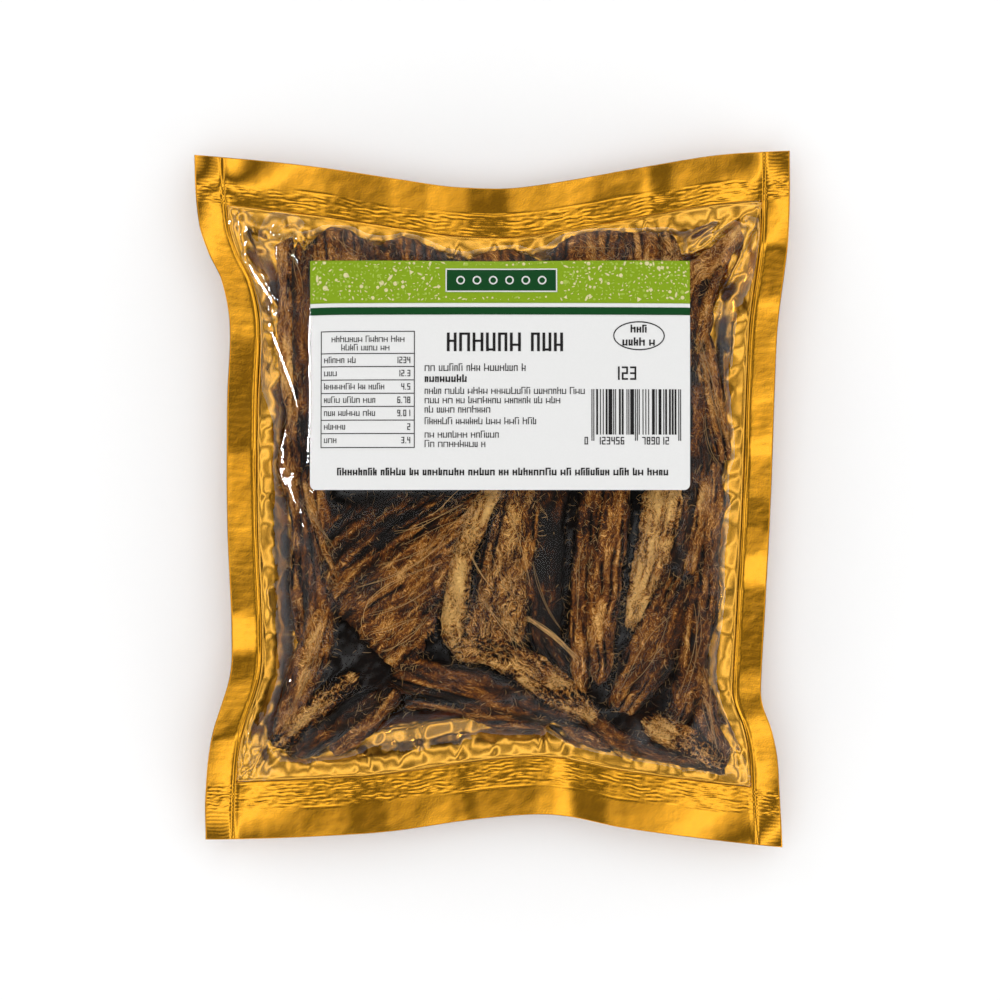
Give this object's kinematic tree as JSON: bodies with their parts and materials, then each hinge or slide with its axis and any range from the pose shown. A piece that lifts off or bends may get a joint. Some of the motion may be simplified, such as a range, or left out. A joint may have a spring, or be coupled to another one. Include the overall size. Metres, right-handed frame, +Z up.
{
  "type": "pack of dried herring",
  "caption": "Flat heat-sealed pouch with a gold foil back and a clear front, full of dried herring pieces, lying on its back, with a paper label on the front.",
  "frame": {"origin": "under the middle of the pouch, on the surface it lies on", "axes": "+X to the right of the label as it is read, +Y towards the pouch's top edge, +Z up out of the clear front"},
  "size_m": [0.212, 0.248, 0.0493],
  "materials": {
    "gold_foil": "gloss",
    "clear_film": "gloss",
    "dried_fish": "satin",
    "label_paper": "satin",
    "label_ink": "satin"
  },
  "bodies": {
    "root": {"bag": "gold_foil", "label": "label_paper"}
  },
  "joints": []
}
